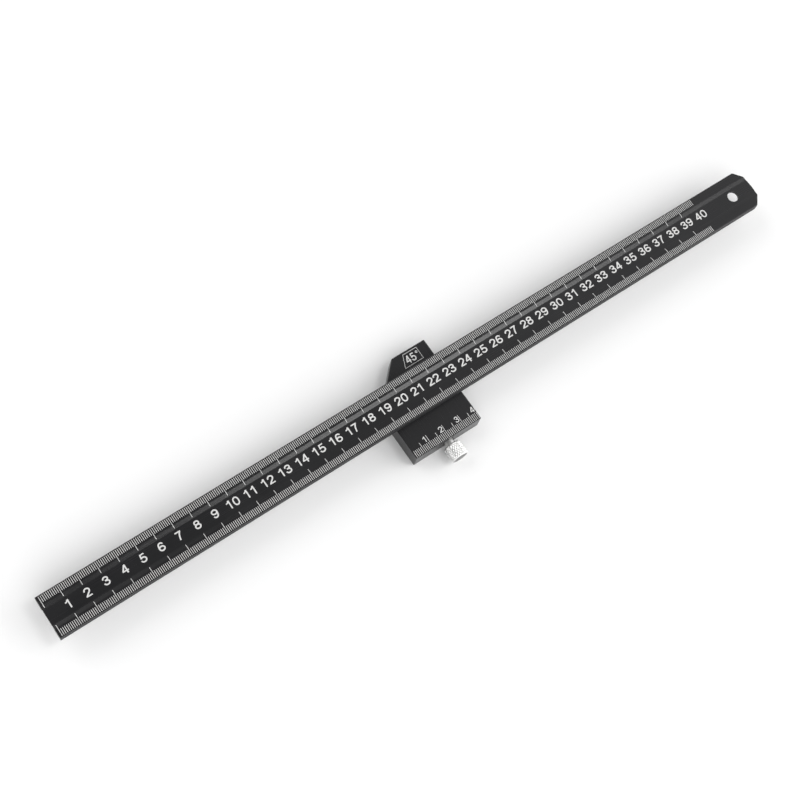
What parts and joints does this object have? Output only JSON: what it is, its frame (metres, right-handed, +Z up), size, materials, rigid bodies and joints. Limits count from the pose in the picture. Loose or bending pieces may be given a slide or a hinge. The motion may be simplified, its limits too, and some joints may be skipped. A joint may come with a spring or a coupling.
{
  "type": "sliding ruler gauge",
  "caption": "Black anodised rule that slides on a clamping block with square and 45 degree fence faces, locked by a knurled thumb screw.",
  "frame": {"origin": "on the rule's centre line, midway along the block, on the block's base face", "axes": "+X along the rule away from the zero of its scale, +Y towards the side with the 45 degree corner, +Z up"},
  "size_m": [0.4377, 0.0612, 0.0155],
  "materials": {
    "black_anodised_rule": "satin black anodised",
    "black_anodised_block": "satin black anodised",
    "bright_steel": "bright nickel plated",
    "plain_steel": "turned steel",
    "brass": "milled brass",
    "scale_marks": "laser engraved, pale grey"
  },
  "bodies": {
    "slider_block": {"slider_block": "black_anodised_block"},
    "ruler": {"ruler_bar": "black_anodised_rule"},
    "clamp_jaw": {"clamp_jaw": "brass"},
    "thumb_screw": {"clamp_screw": "plain_steel", "clamp_knob": "bright_steel"}
  },
  "joints": [
    {"name": "ruler_slide", "type": "slide", "parent": "slider_block", "child": "ruler", "axis": [1, 0, 0], "range_m": [-0.2, 0.19]},
    {"name": "jaw_travel", "type": "slide", "parent": "slider_block", "child": "clamp_jaw", "axis": [0, 1, 0], "range_m": [-0.0008, 0]},
    {"name": "screw_turn", "type": "hinge", "parent": "clamp_jaw", "child": "thumb_screw", "pos_m": [0.0006, -0.03, 0.00525], "axis": [0, 1, 0], "range_deg": [-360, 0]}
  ],
  "couplings": [
    {"joint": "screw_turn", "follows": "jaw_travel", "rad_per_m": 7853.9}
  ]
}
